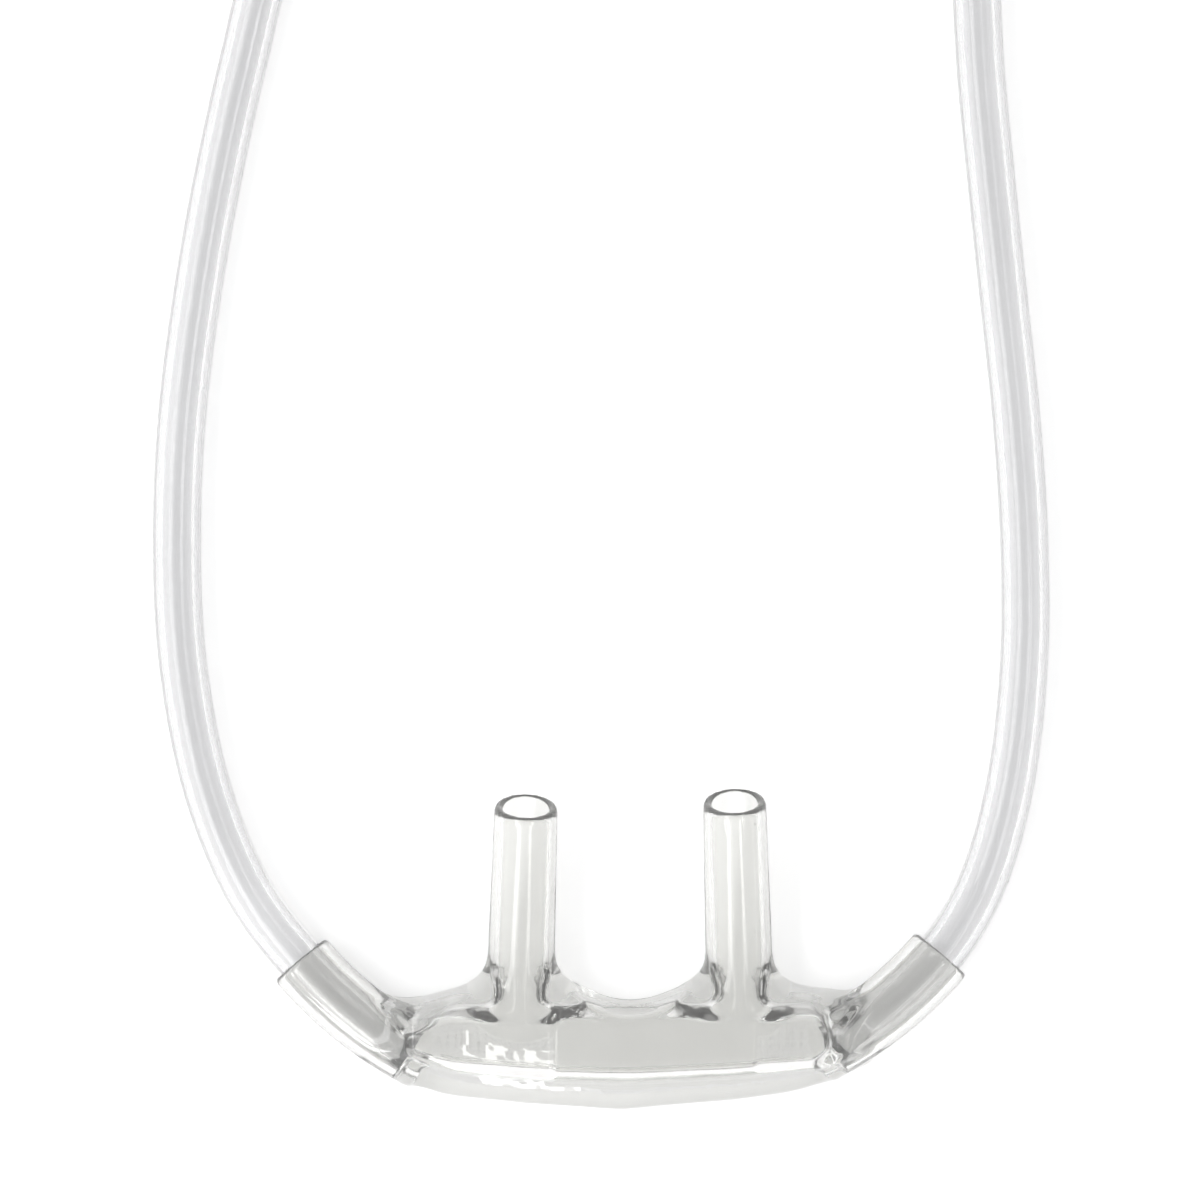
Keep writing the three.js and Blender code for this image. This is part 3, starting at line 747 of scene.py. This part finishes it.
lip_line = through([
    (-0.0200, -0.0071), (-0.0179, -0.0083), (-0.0150, -0.0096), (-0.0124, -0.01045),
    (-0.0065, -0.01105), (-0.0025, -0.0113), (0.0, LIP_Y), (0.0035, -0.01115),
    (0.0080, -0.0108), (0.0124, -0.0102), (0.0150, -0.0094), (0.0179, -0.0081), (0.0205, -0.0067),
])
crease_line = through([
    (-0.0200, -0.0050), (-0.0155, -0.0072), (-0.0120, -0.00865), (-0.0060, -0.0092),
    (0.0005, -0.0094), (0.0080, -0.0090), (0.0145, -0.0084), (0.0169, -0.0073), (0.0205, -0.0052),
])
back_line = through([
    (-0.0200, -0.0028), (-0.0164, -0.0034), (-0.0146, -0.0034), (-0.0120, -0.0027),
    (-0.0102, BACK_Y), (0.0115, BACK_Y), (0.0154, -0.0028),
    (0.0170, -0.0032), (0.0205, -0.0028),
])

BODY_SECTION = [
    (LIP_Y, 0), (BACK_Y - 0.0009, 0), (BACK_Y, 0.0012), (BACK_Y, 0.0028), (-0.0033, 0.0046),
    (-0.0050, PANEL_Z), (-0.0088, PANEL_Z), (-0.00925, 0.0056), (CREASE_Y, 0.0050),
    (-0.00942, 0.0020), (-0.00965, 0.0015), (-0.01005, 0.00125), (LIP_Y, LIP_EDGE_Z),
]
CAVITY_SECTION = [
    (-0.00875, 0.0011), (-0.0044, 0.0011), (-0.0044, 0.0034), (-0.0053, 0.0049),
    (-0.0083, 0.0049), (-0.00875, 0.0043),
]
CAVITY_STEP = 0.00018
CAVITY_STEP_X = (-0.0049, 0.0097)
SCOOP_AXIS = (0.0007, 0.0022)
SCOOP_RADII = (0.0057, 0.0069)
BODY_END = [
    (-0.0178, 0), (0.0180, 0), (0.0180, 0.0030), (0.0170, 0.0044), (0.0155, PANEL_Z),
    (-0.0148, PANEL_Z), (-0.0166, 0.0044), (-0.0178, 0.0030),
]
CAVITY_END = [
    (-0.0154, 0.0005), (0.0150, 0.0005), (0.0150, 0.0042), (0.0138, 0.0070), (-0.0135, 0.0070),
    (-0.0154, 0.0036),
]
CAVITY_PLAN = [
    (-0.0156, -0.0062), (-0.0124, -0.0092), (0.0118, -0.0092), (0.0135, -0.0081), (0.0147, -0.0070),
    (0.0150, -0.0061), (0.0146, -0.0052), (0.0134, -0.0042), (-0.0115, -0.0042),
]


def straightened(x, y):
    """The y of the straight section that belongs to a place on the curved body."""
    lip, crease, back = lip_line(x), crease_line(x), back_line(x)
    under = LIP_Y + (y - lip) / (crease - lip) * (CREASE_Y - LIP_Y)
    over = CREASE_Y + (y - crease) / (back - crease) * (BACK_Y - CREASE_Y)
    return np.where(y < crease, under, over)


print(f"panel at {1000 * PANEL_Z:.1f} mm, lip from y {1000 * LIP_Y:.1f} to {1000 * CREASE_Y:.1f} mm")

# %% Prongs
PRONG_SPACING = 0.0158
PRONG_SHIFT = 0.00068
PRONG_ROOT = (-0.0055, 0.0030)
PRONG_TIP_Y = 0.01035
PRONG_TILT = math.radians(24)
PRONG_LEAN = math.radians(1.9)
PRONG_BEND = (PRONG_TIP_Y - PRONG_ROOT[0]) / math.sin(PRONG_TILT)
PRONG_LENGTH = PRONG_BEND * PRONG_TILT
PRONG_RADII = (0.00247, 0.00226)
PRONG_BORE = 0.0016
PRONG_START = 0.0012
PRONG_TRIM = {-1: 0.0001, 1: 0.0005}
RIM_ROUND = 0.00032


def prong_arc(side):
    root = (PRONG_SHIFT + side * PRONG_SPACING / 2, *PRONG_ROOT)
    return Arc(root, (-side * math.sin(PRONG_LEAN), math.cos(PRONG_LEAN), 0), (0, 0, 1), PRONG_BEND)


def prong_radius(along):
    root, tip = PRONG_RADII
    return root + (tip - root) * np.clip(along / PRONG_LENGTH, 0, 1)


def flared_bore(end):
    """The bore's radius, which opens in a round lip over the last stretch before the end."""

    def radius(along):
        share = np.clip((along - end + RIM_ROUND) / RIM_ROUND, 0, 1)
        return PRONG_BORE + RIM_ROUND * (1 - np.sqrt(1 - share * share))

    return radius


print("prong tips:", [np.round(prong_arc(side).point(PRONG_LENGTH), 4).tolist() for side in (-1, 1)])

# %% The whole moulding as one field
SLEEVE_EDGE = 0.0002
SLEEVE_FILLET = 0.0010
PRONG_FILLET = 0.0026
BORE_FILLET = 0.0012
SOCKET_PLAY = 0.00002
PASSAGE_RADIUS = 0.00115
MOULD_PITCH = 0.0002
BLUR_PASSES = 2


def facepiece_field(x, y, z):
    across = straightened(x, y)
    body = np.maximum(polygon_distance(across, z, BODY_SECTION), polygon_distance(x, z, BODY_END))
    cavity = np.maximum.reduce([
        polygon_distance(across, z, CAVITY_SECTION),
        polygon_distance(x, z, CAVITY_END) + 0 * y,
        polygon_distance(x, y, CAVITY_PLAN) + 0 * z,
    ])
    middle = (x > CAVITY_STEP_X[0]) & (x < CAVITY_STEP_X[1])
    cavity = cavity - np.where(middle, CAVITY_STEP, 0)
    widening = SCOOP_RADII[0] + (SCOOP_RADII[1] - SCOOP_RADII[0]) * z / PANEL_Z
    scoop = np.hypot(x - SCOOP_AXIS[0], y - SCOOP_AXIS[1]) - widening
    solid = cut(body, scoop)
    tools = []
    for side in (-1, 1):
        arc = sleeve_arc(side)
        sleeve = round_bar(arc, lambda along: SLEEVE_RADIUS, 0, SLEEVE_LENGTH, x, y, z, SLEEVE_EDGE)
        solid = melt(solid, sleeve, SLEEVE_FILLET)
        socket = HEADSET_RADIUS + SOCKET_PLAY
        tools.append(round_bar(arc, lambda along: socket, -0.001, SOCKET_DEPTH + 0.0002, x, y, z))
        passage = (SOCKET_DEPTH - 0.0005, SLEEVE_LENGTH + 0.0008)
        tools.append(round_bar(arc, lambda along: PASSAGE_RADIUS, *passage, x, y, z))
    for side in (-1, 1):
        arc = prong_arc(side)
        end = PRONG_LENGTH + PRONG_TRIM[side]
        prong = round_bar(arc, prong_radius, PRONG_START, end, x, y, z, RIM_ROUND)
        solid = melt(solid, prong, PRONG_FILLET)
        bore = round_bar(arc, flared_bore(end), PRONG_START, end + 0.001, x, y, z)
        cavity = melt(cavity, bore, BORE_FILLET)
    tools.append(cavity)
    return cut(np.maximum(solid, -z), *tools)


face_low, face_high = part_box("facepiece")
facepiece = moulded("facepiece_moulding", facepiece_field, face_low, face_high, MOULD_PITCH,
                    BLUR_PASSES, moulding_pvc)

# %% [markdown]
# ## Slider, Y connector and funnel
#
# These come with every set. The slider is a short oval sleeve with grip ribs, the Y connector takes
# the two thin tubes on one side and the thick one on the other, and the funnel is a turned shape with
# a ribbed grip. The first two are fields like the facepiece; the funnel is turned.

# %% Slider
SLIDER_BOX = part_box("slider")
SLIDER_RIBS = 5
SLIDER_RELIEF = 0.00018
SLIDER_PLAY = 0.0002


def stadium_distance(x, z, centre, half_width, radius):
    """Distance to a rounded bar across X."""
    dx = np.maximum(np.abs(x - centre[0]) - half_width, 0)
    return np.hypot(dx, z - centre[1]) - radius


def slider_field(x, y, z):
    low, high = SLIDER_BOX
    centre = ((low[0] + high[0]) / 2, (low[2] + high[2]) / 2)
    radius = (high[2] - low[2]) / 2
    half = (high[0] - low[0]) / 2 - radius
    ends = np.maximum(low[1] - y, y - high[1])
    ribs = SLIDER_RELIEF * np.cos((y - low[1]) / (high[1] - low[1]) * 2 * math.pi * SLIDER_RIBS)
    outside = np.maximum(stadium_distance(x, z, centre, half, radius - SLIDER_PLAY) - ribs, ends)
    lane = LANE_PITCH / 2
    bore = stadium_distance(x, z, centre, lane, HEADSET_RADIUS + SLIDER_PLAY)
    return cut(outside, bore)


slider = moulded("slider_sleeve", slider_field, *SLIDER_BOX, MOULD_PITCH, BLUR_PASSES, fitting_pvc)

# %% Y connector
Y_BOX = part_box("y_connector")
Y_SLAB_END = Y_BOX[0][1] + 0.0125
Y_TAPER_LENGTH = 0.004
Y_CORNER = 0.0014
Y_SKIN = 0.00018
Y_COLLAR_RADIUS = 0.00395
Y_FILLET = 0.0018
Y_PITCH = 0.00025
RING_PITCH = 0.0016
RING_RELIEF = 0.00015
RING_REACH = 0.0072
TUBE_PLAY = 0.00004


def box_distance(x, y, z, low, high, corner):
    """Distance to a box with round edges."""
    deltas = []
    for place, a, b in zip((x, y, z), low, high):
        deltas.append(np.abs(place - (a + b) / 2) - (b - a) / 2 + corner)
    outside = np.sqrt(sum(np.maximum(d, 0) ** 2 for d in deltas))
    inside = np.minimum(np.maximum(np.maximum(*deltas[:2]), deltas[2]), 0)
    return outside + inside - corner


def bar_along_y(x, y, z, centre, radius, start, end):
    return np.maximum(np.hypot(x - centre[0], z - centre[1]) - radius, np.maximum(start - y, y - end))


def y_field(x, y, z):
    low, high = Y_BOX
    taper_start = Y_SLAB_END - Y_TAPER_LENGTH
    slab = box_distance(
        x, y, z, (low[0], low[1], Y_SKIN), (high[0], Y_SLAB_END, 2 * PAIR_Z - Y_SKIN), Y_CORNER
    )
    taper = (np.abs(x - PAIR_X) - 0.0052 + (y - Y_SLAB_END + Y_TAPER_LENGTH) * 0.75) * 0.8
    slab = np.maximum(slab, np.where(y > taper_start, taper, -1))
    collar = bar_along_y(
        x, y, z, (PAIR_X, LEAD_Z), Y_COLLAR_RADIUS - 0.0002, taper_start, high[1]
    )
    rings = RING_RELIEF * np.cos((y - high[1]) / RING_PITCH * 2 * math.pi)
    collar = collar - np.where(y > high[1] - RING_REACH, rings, 0)
    solid = melt(slab, collar, Y_FILLET)
    tools = [
        bar_along_y(x, y, z, (PAIR_X + side * LANE_PITCH / 2, PAIR_Z), HEADSET_RADIUS + TUBE_PLAY,
                    low[1] - 0.001, low[1] + Y_SOCKET_DEPTH)
        for side in (-1, 1)
    ]
    tools.append(bar_along_y(x, y, z, (PAIR_X, LEAD_Z), SUPPLY_RADIUS + TUBE_PLAY,
                             high[1] - Y_SOCKET_DEPTH, high[1] + 0.001))
    tools.append(box_distance(
        x, y, z, (PAIR_X - 0.0028, low[1] + 0.0075, PAIR_Z - 0.0010),
        (PAIR_X + 0.0028, high[1] - 0.0075, PAIR_Z + 0.0014), 0.0006,
    ))
    return cut(np.maximum(solid, -z), *tools)


y_fitting = moulded("y_fitting", y_field, *Y_BOX, Y_PITCH, BLUR_PASSES, fitting_pvc)

# %% Funnel for the oxygen outlet
FUNNEL_END_Y = 0.136
FUNNEL_SOCKET = SUPPLY_RADIUS + TUBE_PLAY
FUNNEL_PROFILE = [
    (FUNNEL_SOCKET, 0.0), (0.0037, 0.0), (0.0040, 0.0004), (0.0040, 0.0074), (0.0044, 0.0080),
    (0.0053, 0.0082), (0.0056, 0.0086), (0.0056, 0.0099), (0.0053, 0.0103), (0.0046, 0.0106),
    (0.0045, 0.0120), (0.0046, 0.0200), (0.0049, 0.0290), (0.0050, 0.0318), (0.0053, 0.0332),
    (0.0056, 0.0338), (0.0056, 0.0356), (0.0052, 0.0360), (0.0038, 0.0360), (0.0036, 0.0357),
    (0.00325, 0.0140), (0.0018, 0.0140), (0.0018, 0.0100), (FUNNEL_SOCKET, 0.0100),
]
GRIP = (0.0125, 0.0300)
GRIP_FADE = 0.002
GRIP_RIBS = 16
GRIP_RELIEF = 0.00025
SIDES_A_RIB = 8
LONGEST_ROW = 0.0015
OUTER_FROM = 0.0041


def funnel():
    sides = GRIP_RIBS * SIDES_A_RIB
    rows = []
    for (ra, ya), (rb, yb) in zip(FUNNEL_PROFILE, FUNNEL_PROFILE[1:] + FUNNEL_PROFILE[:1]):
        steps = max(1, math.ceil(abs(yb - ya) / LONGEST_ROW))
        for i in range(steps):
            rows.append((ra + (rb - ra) * i / steps, ya + (yb - ya) * i / steps))
    vertices = []
    for radius, along in rows:
        outer = radius > OUTER_FROM
        rise = ease(along, GRIP[0], GRIP[0] + GRIP_FADE)
        fade = min(rise, 1 - ease(along, GRIP[1] - GRIP_FADE, GRIP[1]))
        for i in range(sides):
            turn = 2 * math.pi * i / sides
            rib = GRIP_RELIEF * fade * abs(math.cos(GRIP_RIBS / 2 * turn)) if outer else 0
            wide = radius + rib
            vertices.append((CONNECTOR_X + wide * math.cos(turn), FUNNEL_END_Y - along,
                             CONNECTOR_Z + wide * math.sin(turn)))
    faces = []
    for row in range(len(rows)):
        following = (row + 1) % len(rows)
        for i in range(sides):
            j = (i + 1) % sides
            near, far = row * sides, following * sides
            faces.append((near + i, near + j, far + j, far + i))
    return mesh_object("funnel_connector", vertices, faces, fitting_pvc)


funnel_connector = funnel()
print("funnel:", len(funnel_connector.data.polygons), "quads")

# %% [markdown]
# ## Ties
#
# A strip of soft white plastic is wound once round each coil and pinched to itself. It is a thin band
# with rounded edges, so a bevelled strip is enough, with a fine embossed bump.

# %% Tie material
def strap_material():
    material = bpy.data.materials.new("tie_strap_white")
    material.use_nodes = True
    nodes, links = material.node_tree.nodes, material.node_tree.links
    shader = nodes["Principled BSDF"]
    cloud = nodes.new("ShaderNodeGroup")
    cloud.node_tree = clouding
    cloud.inputs["Clear"].default_value = (0.86, 0.86, 0.84, 1)
    cloud.inputs["Milky"].default_value = (0.78, 0.78, 0.76, 1)
    cloud.inputs["Scale"].default_value = 700
    cloud.inputs["Roughness"].default_value = 0.45
    cloud.inputs["Roughness Spread"].default_value = 0.2
    flow = nodes.new("ShaderNodeGroup")
    flow.node_tree = ripples
    flow.inputs["Fine Scale"].default_value = 3000
    flow.inputs["Fine Share"].default_value = 1.0
    relief = nodes.new("ShaderNodeBump")
    relief.inputs["Distance"].default_value = 0.00006
    links.new(cloud.outputs["Color"], shader.inputs["Base Color"])
    links.new(cloud.outputs["Roughness"], shader.inputs["Roughness"])
    links.new(flow.outputs["Height"], relief.inputs["Height"])
    links.new(relief.outputs["Normal"], shader.inputs["Normal"])
    return material


tie_white = strap_material()


# %% Bands round the coils
TIE_CORNER = 0.0007
TIE_THICKNESS = 0.0004
TIE_BEVEL = 0.0001


def band(name, node, along_x):
    """A rounded strip round the wall of a coil, inside the box of its node."""
    low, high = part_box(node)
    middle = (low + high) / 2
    wide = (high - low) / 2
    run = wide.x if along_x else wide.y
    reach, rise, half = run, wide.z, (wide.y if along_x else wide.x)
    loop = []
    for (su, sv), start in zip(((1, 1), (-1, 1), (-1, -1), (1, -1)), (0, 90, 180, 270)):
        for step in range(7):
            turn = math.radians(start + 15 * step)
            loop.append((su * (reach - TIE_CORNER) + TIE_CORNER * math.cos(turn),
                         sv * (rise - TIE_CORNER) + TIE_CORNER * math.sin(turn), turn))
    edge = [(-half, 0.3), (-half + TIE_BEVEL, 0.0), (half - TIE_BEVEL, 0.0), (half, 0.3)]
    section = [(w, t * TIE_THICKNESS) for w, t in edge]
    section += [(w, (1 - t) * TIE_THICKNESS) for w, t in reversed(edge)]
    vertices = []
    for u, v, turn in loop:
        for w, depth in section:
            du, dv = u - depth * math.cos(turn), v - depth * math.sin(turn)
            place = (du, w, dv) if along_x else (w, du, dv)
            vertices.append(tuple(middle[i] + place[i] for i in range(3)))
    count, ring = len(loop), len(section)
    faces = []
    for a in range(count):
        b = (a + 1) % count
        for i in range(ring):
            j = (i + 1) % ring
            faces.append((a * ring + i, a * ring + j, b * ring + j, b * ring + i))
    piece = mesh_object(name, vertices, faces, tie_white)
    print(name, len(faces), "quads")
    return piece


headset_band = band("headset_coil_tie", "headset_tie", along_x=True)
supply_band = band("supply_coil_tie", "supply_tie", along_x=False)

# %% [markdown]
# ## Straighten the normals
#
# Turned and swept meshes are made with their faces in one order, and a glass shader minds which side
# is out. Blender can make a closed mesh's faces agree and point outwards.

# %% Faces point out
def face_out(piece):
    mesh = bmesh.new()
    mesh.from_mesh(piece.data)
    bmesh.ops.recalc_face_normals(mesh, faces=mesh.faces)
    mesh.to_mesh(piece.data)
    mesh.free()


for piece in (headset_left, headset_right, supply_line, funnel_connector, headset_band, supply_band):
    face_out(piece)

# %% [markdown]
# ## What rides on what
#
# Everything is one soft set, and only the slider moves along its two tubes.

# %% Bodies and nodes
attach(facepiece, "cannula")
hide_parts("facepiece")
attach(slider, "slider")
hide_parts("slider")
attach(y_fitting, "cannula")
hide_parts("y_connector")
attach(funnel_connector, "cannula")
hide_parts("end_connector")
for piece, node in ((headset_band, "headset_tie"), (supply_band, "supply_tie")):
    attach(piece, "cannula")
    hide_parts(node)

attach(headset_left, "cannula")
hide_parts("headset_tube_left", "headset_coil", "headset_tail_left")
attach(headset_right, "cannula")
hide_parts("headset_tube_right", "headset_coil", "headset_tail_right")
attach(supply_line, "cannula")
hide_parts("supply_lead", "supply_coil", "supply_tail")

# %% Each tube, the pieces on it and its sleeve mouth
for piece, side, pieces_on_it in (
    (headset_left, -1, [headset_band, y_fitting, slider]),
    (headset_right, 1, [headset_band, y_fitting, slider]),
):
    tuple(sleeve_arc(side).point(0))

# %% [markdown]
# ## Floor and light
#
# The picture is a studio shot on white: a floor that burns out to white and light from all round. Three
# soft lamps draw the bright streaks: a long one on the left, a thinner one on the right, and a small,
# low one in front for the feet of the prongs.

# %% Floor
FLOOR_GLOW = 0.44


def floor_material():
    material = bpy.data.materials.new("white_sweep")
    material.use_nodes = True
    shader = material.node_tree.nodes["Principled BSDF"]
    shader.inputs["Base Color"].default_value = (0.93, 0.93, 0.93, 1)
    shader.inputs["Roughness"].default_value = 0.9
    shader.inputs["Specular IOR Level"].default_value = 0.0
    shader.inputs["Emission Color"].default_value = (1, 1, 1, 1)
    shader.inputs["Emission Strength"].default_value = FLOOR_GLOW
    return material


FLOOR_REACH = 3.0
corners = [(-FLOOR_REACH, -FLOOR_REACH, 0), (FLOOR_REACH, -FLOOR_REACH, 0),
           (FLOOR_REACH, FLOOR_REACH, 0), (-FLOOR_REACH, FLOOR_REACH, 0)]
floor = mesh_object("floor", corners, [(0, 1, 2, 3)], floor_material(), smooth=False)

# %% Lights
WORLD_STRENGTH = 0.58
world = bpy.data.worlds.new("studio")
world.use_nodes = True
background = world.node_tree.nodes["Background"]
background.inputs["Color"].default_value = (1, 1, 1, 1)
background.inputs["Strength"].default_value = WORLD_STRENGTH
bpy.context.scene.world = world


def soft_lamp(name, place, target, size, power):
    data = bpy.data.lights.new(name, "AREA")
    data.shape = "RECTANGLE"
    data.size, data.size_y = size
    data.energy = power
    lamp = bpy.data.objects.new(name, data)
    back = (Vector(place) - Vector(target)).normalized()
    along = Vector((0, 1, 0))
    along = (along - back * along.dot(back)).normalized()
    turn = Matrix((-back.cross(along), along, back)).transposed()
    lamp.matrix_world = Matrix.Translation(place) @ turn.to_4x4()
    bpy.context.scene.collection.objects.link(lamp)
    lamp.visible_camera = False
    return lamp


soft_lamp("key_lamp", (-0.56, -0.45, 0.88), (0, -0.45, 0), (0.26, 1.7), 5.5)
soft_lamp("low_lamp", (-0.50, -0.62, 0.30), (0, 0, 0), (0.16, 0.16), 0.7)
soft_lamp("side_lamp", (0.48, -0.55, 0.95), (0, -0.55, 0), (0.10, 1.2), 1.3)
bpy.context.scene.view_settings.view_transform = "Standard"
BOUNCES = 32
bpy.context.scene.cycles.max_bounces = BOUNCES
bpy.context.scene.cycles.transmission_bounces = BOUNCES

# %% [markdown]
# ## Sizes
#
# The dressed model has to fit the box of the imported one.

# %% Update the scene
bpy.context.view_layer.update()
